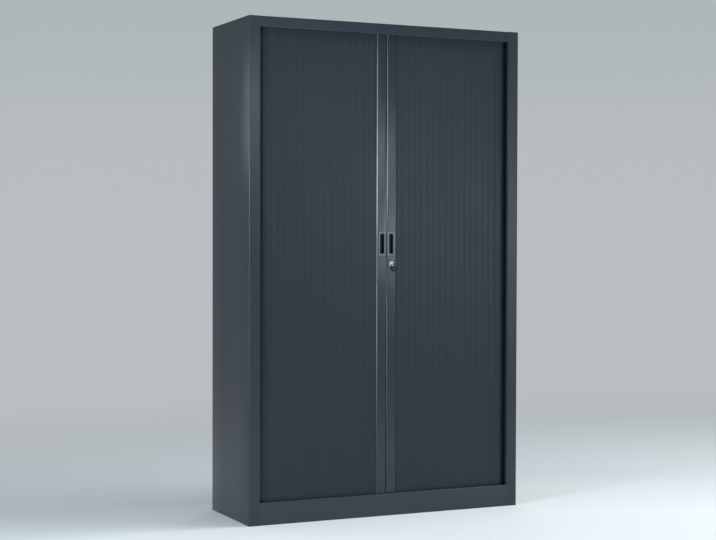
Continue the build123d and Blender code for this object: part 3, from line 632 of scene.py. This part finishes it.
def key_bow():
    """Folding key's moulded bow: rimmed plate with a hole, two hinge arms."""
    bm = bmesh.new()

    def ring(w, h, r, z, cx=20.5):
        return [
            KEY @ Vector(((cx + px) * MM, py * MM, (KEY_W + z) * MM))
            for px, py in rounded(w, h, r, 8)
        ]

    half = [
        (11.0, 13.0, 5.0, 1.25, 23.6),
        (11.7, 13.7, 5.3, 1.6, 23.6),
        (13.4, 15.4, 6.0, 1.6, 23.6),
        (14.0, 16.0, 6.2, 1.3, 23.6),
        (21.2, 18.6, 6.4, 1.3, 21.9),
        (21.8, 19.2, 6.6, 1.6, 21.9),
        (24.5, 21.9, 7.7, 1.6, 21.9),
        (25.3, 22.7, 8.05, 1.3, 21.9),
        (25.6, 23.0, 8.2, 0.7, 21.9),
    ]
    loops = [ring(w, h, r, z, cx) for w, h, r, z, cx in half]
    loops += [ring(w, h, r, -z, cx) for w, h, r, z, cx in reversed(half)]
    loops.append(loops[0])
    loft(bm, loops)
    for v in (-5.25, 5.25):
        profile = arc(0, 0, 2.35, 80, 280, 14) + [(3.2, -1.55), (9.8, -1.3), (9.8, 1.3), (3.2, 1.55)]
        loft(
            bm,
            [
                [
                    KEY @ Vector((x * k * MM if x < 0 else x * MM, (v + s) * MM, (KEY_W + z * k) * MM))
                    for x, z in profile
                ]
                for s, k in ((-1.25, 0.9), (-1.0, 1.0), (1.0, 1.0), (1.25, 0.9))
            ],
            True,
            True,
        )
    piece = finish_mesh(bm, "key_bow_cover", [M["grip"]], "key_bow", 30, 1e-6)
    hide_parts("key_bow")


key_bow()


# ---------------------------------------------------------- levelling feet
def foot(word, x, y):
    """Adjusting stem: ball pin, hexagon, rolled M10 thread, slotted end."""
    bm = bmesh.new()
    turn, pitch = 28, 1.5
    z_low, z_high = 18.4, 67.4
    rows = []

    def row(points):
        rows.append([bm.verts.new(((x + px) * MM, (y + py) * MM, pz * MM)) for px, py, pz in points])

    def round_row(r, z):
        row(
            [
                (r * math.cos(2 * math.pi * k / turn), r * math.sin(2 * math.pi * k / turn), z)
                for k in range(turn)
            ]
        )

    for r, z in ((3.4, 4.2), (3.97, 4.8), (3.97, 12.0)):
        round_row(r, z)
    for scale, z in ((0.955, 12.0), (1.0, 12.4), (1.0, 17.6), (0.955, 18.0)):
        hexagon = []
        for k in range(turn):
            a = 2 * math.pi * k / turn
            inside = (a + math.pi / 6) % (math.pi / 3) - math.pi / 6
            r = min(9.0 * math.cos(math.pi / 6) / math.cos(math.pi / 6 - abs(inside)), 8.9)
            hexagon.append((r * scale * math.cos(a), r * scale * math.sin(a), z))
        row(hexagon)
    round_row(4.3, 18.0)
    round_row(4.3, z_low)
    steps = int((z_high - z_low) / pitch * 6)
    for i in range(steps + 1):
        z = z_low + (z_high - z_low) * i / steps
        fade = min(1.0, (z - z_low) / 1.5, (z_high - z) / 1.5)
        points = []
        for k in range(turn):
            a = 2 * math.pi * k / turn
            phase = (z / pitch - k / turn) % 1.0
            ridge = max(0.0, 1 - abs(phase - 0.5) * 2.5)
            r = 4.25 + 0.72 * min(1.0, ridge) * max(0.0, fade)
            points.append((r * math.cos(a), r * math.sin(a), z))
        row(points)
    round_row(4.2, 67.6)
    round_row(3.9, 68.0)
    for a, b in zip(rows, rows[1:]):
        for i in range(turn):
            j = (i + 1) % turn
            bm.faces.new((a[i], a[j], b[j], b[i]))
    bm.faces.new(rows[0])
    bm.faces.new(rows[-1])
    piece = finish_mesh(bm, f"{word}_threaded_stem", [M["zinc"]], f"{word}_stem", 30)
    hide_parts(f"{word}_stem")


for foot_word, fx, fy in (
    ("rear_left_foot", -520, 140),
    ("front_left_foot", -520, -140),
    ("rear_right_foot", 520, 140),
    ("front_right_foot", 520, -140),
):
    foot(foot_word, fx, fy)

# ------------------------------------------------------------------- stage
floor = bpy.data.meshes.new("floor")
bm = bmesh.new()
bmesh.ops.create_circle(bm, cap_ends=True, radius=14, segments=128)
bm.to_mesh(floor)
bm.free()
floor_obj = bpy.data.objects.new("floor", floor)
scene.collection.objects.link(floor_obj)


def studio_floor():
    """Pale paper with a painted pool of light in front of the cabinet, melting into the backdrop."""
    s = Shader("studio_floor")

    def distance(x, y):
        away = s.node("ShaderNodeVectorMath", operation="SUBTRACT")
        s.link(s.coords, away.inputs[0])
        away.inputs[1].default_value = (x, y, 0)
        size = s.node("ShaderNodeVectorMath", operation="LENGTH")
        s.link(away.outputs[0], size.inputs[0])
        return size.outputs["Value"]

    # painted light: the paper is paler near a point in front of the cabinet and darker away from it
    lit_pool_distance = distance(0.35, -2.0)
    c = s.mix(s.remap(lit_pool_distance, 0.0, 1.0, 1.6, 2.6), (0.935, 0.975, 0.96), (0.745, 0.79, 0.785))
    fade = s.node("ShaderNodeMapRange", interpolation_type="SMOOTHSTEP")
    s.link(distance(0.3, -4.5), fade.inputs["Value"])
    fade.inputs["From Min"].default_value = 4.9
    fade.inputs["From Max"].default_value = 9.0
    fade.inputs["To Min"].default_value = 1.0
    fade.inputs["To Max"].default_value = 0.0
    s.link(fade.outputs["Result"], s.bsdf.inputs["Alpha"])
    return s.done(c, 0.8, Specular_IOR_Level=0.12)


floor.materials.append(studio_floor())

world = bpy.data.worlds.new("studio")
scene.world = world
world.use_nodes = True
wt = world.node_tree
bg = wt.nodes["Background"]
tc = wt.nodes.new("ShaderNodeTexCoord")
sep = wt.nodes.new("ShaderNodeSeparateXYZ")
ramp = wt.nodes.new("ShaderNodeValToRGB")
wt.links.new(tc.outputs["Generated"], sep.inputs[0])
wt.links.new(sep.outputs["Z"], ramp.inputs["Fac"])
ramp.color_ramp.interpolation = "EASE"
elements = ramp.color_ramp.elements
elements[0].position = 0.0
elements[0].color = (0.489, 0.514, 0.541, 1)
elements[1].position = 0.70
elements[1].color = (0.11, 0.12, 0.13, 1)
for position, colour in (
    (0.04, (0.482, 0.511, 0.534, 1)),
    (0.145, (0.425, 0.473, 0.484, 1)),
    (0.34, (0.22, 0.245, 0.255, 1)),
):
    e = elements.new(position)
    e.color = colour


def toward(direction, start, end, away, at):
    """A factor on the backdrop that changes smoothly round one direction."""
    dot = wt.nodes.new("ShaderNodeVectorMath")
    dot.operation = "DOT_PRODUCT"
    wt.links.new(tc.outputs["Generated"], dot.inputs[0])
    dot.inputs[1].default_value = Vector(direction).normalized()
    m = wt.nodes.new("ShaderNodeMapRange")
    m.interpolation_type = "SMOOTHSTEP"
    wt.links.new(dot.outputs["Value"], m.inputs["Value"])
    m.inputs["From Min"].default_value = start
    m.inputs["From Max"].default_value = end
    m.inputs["To Min"].default_value = away
    m.inputs["To Max"].default_value = at
    return m.outputs["Result"]


# the pale backdrop stands behind; to its left and in front the room is dimmer, and the
# ceiling is lit
behind = toward((-0.5, 0.85, 0.16), 0.72, 0.97, 0.0, 0.60)
above = toward((0.0, 0.0, 1.0), -0.15, -0.085, 0.0, 1.0)
less = wt.nodes.new("ShaderNodeMath")
less.operation = "MULTIPLY_ADD"
wt.links.new(behind, less.inputs[0])
negative = wt.nodes.new("ShaderNodeMath")
negative.operation = "MULTIPLY"
wt.links.new(above, negative.inputs[0])
negative.inputs[1].default_value = -1.0
wt.links.new(negative.outputs[0], less.inputs[1])
less.inputs[2].default_value = 1.0
factor = less.outputs[0]
for other in (
    toward((0.42, -0.9, 0.0), 0.55, 0.95, 1.0, 0.3),
    toward((-0.85, -0.5, 0.0), 0.40, 0.95, 1.0, 0.3),
    toward((0.0, 0.0, 1.0), 0.45, 0.85, 1.0, 4.6),
):
    product = wt.nodes.new("ShaderNodeMath")
    product.operation = "MULTIPLY"
    wt.links.new(factor, product.inputs[0])
    wt.links.new(other, product.inputs[1])
    factor = product.outputs[0]
room = wt.nodes.new("ShaderNodeVectorMath")
room.operation = "SCALE"
wt.links.new(ramp.outputs["Color"], room.inputs[0])
wt.links.new(factor, room.inputs["Scale"])
wt.links.new(room.outputs[0], bg.inputs["Color"])
bg.inputs["Strength"].default_value = 1.0


def area(name, at, target, size, power, colour=(1, 1, 1), spin=0.0, spread=180.0):
    light = bpy.data.lights.new(name, "AREA")
    light.shape = "RECTANGLE"
    light.size, light.size_y = size
    light.energy = power
    light.color = colour
    light.spread = math.radians(spread)
    o = bpy.data.objects.new(name, light)
    scene.collection.objects.link(o)
    o.location = at
    facing = (Vector(target) - Vector(at)).to_track_quat("-Z", "Y")
    o.rotation_euler = (facing @ Quaternion((0, 0, 1), math.radians(spin))).to_euler()
    o.visible_camera = False
    return o


# A diagonal row of panels at the front right is what the glossy fronts mirror, a column
# of panels at the left lights the stiles' bevels, and two softboxes at the right make the
# floor's light and its shadow. The small ones behind at the left glance off the side panel.
for k, (power, colour) in enumerate(
    (
        (2.5, (0.84, 1.02, 1.16)),
        (2.65, (0.85, 0.99, 1.17)),
        (4.95, (0.87, 0.98, 1.17)),
        (1.09, (0.95, 1.0, 1.0)),
    )
):
    at = (0.8775 + 0.675 * k, -4.0, 1.9875 - 0.405 * k)
    area(f"front_panel_{k + 1}", at, (at[0], 0, at[2]), (0.79, 0.35), power, colour, 31.0, 120.0)
area(
    "right_edge_panel", (3.05, -4.0, 1.3), (3.05, 0, 1.3), (0.3, 1.9), 2.55, (1.08, 0.96, 0.96), 0, 120.0
)
for z, height, power, colour in (
    (0.58, 0.3, 4.8, (0.95, 0.98, 1.07)),
    (0.95, 0.5, 6.6, (0.90, 1.04, 1.05)),
    (1.45, 0.5, 20.0, (0.91, 0.98, 1.11)),
    (1.95, 0.5, 9.4, (0.90, 1.02, 1.07)),
):
    area(
        f"left_panel_{z}", (-2.55, -1.42, z), (-0.05, -0.19, z), (0.6, height), power, colour
    )
area(
    "left_panel_low", (-2.55, -1.42, 0.325), (-0.05, -0.19, 0.325), (0.6, 0.49), 0.85,
    (0.95, 0.98, 1.07), 0, 90.0,
)
area("fold_glow", (-2.19, 2.4, 1.80), (-0.6, -0.15, 1.6), (0.25, 0.6), 1.0, (0.82, 0.98, 1.2))
area("fold_glow_wide", (-2.6, 2.05, 1.80), (-0.6, -0.15, 1.6), (0.25, 0.6), 3.3)
area("high_right_softbox", (3.0, -1.5, 4.2), (-0.3, -0.2, 0.3), (2.4, 1.6), 72, (0.96, 1.0, 1.04))
area("far_right_softbox", (3.6, -1.0, 3.6), (-0.3, -0.2, 0.3), (1.6, 1.6), 64)
rear = area("rear_softbox", (1.9, 3.2, 0.9), (0.0, 0.21, 1.4), (0.5, 1.4), 16, spread=50.0)
fill = area("front_fill", (-1.2, -5.5, 2.0), (0.0, 0.0, 0.9), (2.0, 1.5), 11)
for soft in (rear, fill):
    soft.visible_glossy = False

# ------------------------------------------------------------------ camera
FOCAL_PX = 1571.9346658052496
camera = bpy.data.cameras.new("camera")
camera.sensor_fit = "HORIZONTAL"
camera.sensor_width = 36.0
camera.lens = FOCAL_PX / 716 * 36.0
camera.clip_start, camera.clip_end = 0.1, 200
cam = bpy.data.objects.new("camera", camera)
scene.collection.objects.link(cam)
yaw, pitch, roll = 0.43712357158908693, -0.02219871102788136, 0.002568061933829726
forward = Vector(
    (math.sin(yaw) * math.cos(pitch), math.cos(yaw) * math.cos(pitch), math.sin(pitch))
)
right = forward.cross(Vector((0, 0, 1))).normalized()
up = right.cross(forward)
right2 = right * math.cos(roll) + up * math.sin(roll)
up2 = up * math.cos(roll) - right * math.sin(roll)
basis = Matrix((right2, up2, -forward)).transposed().to_4x4()
basis.translation = Vector((-2.7906912965753017, -5.89237235011708, 1.132602049812645))
cam.matrix_world = basis
scene.camera = cam
scene.view_settings.view_transform = "Standard"
scene.view_settings.look = "None"
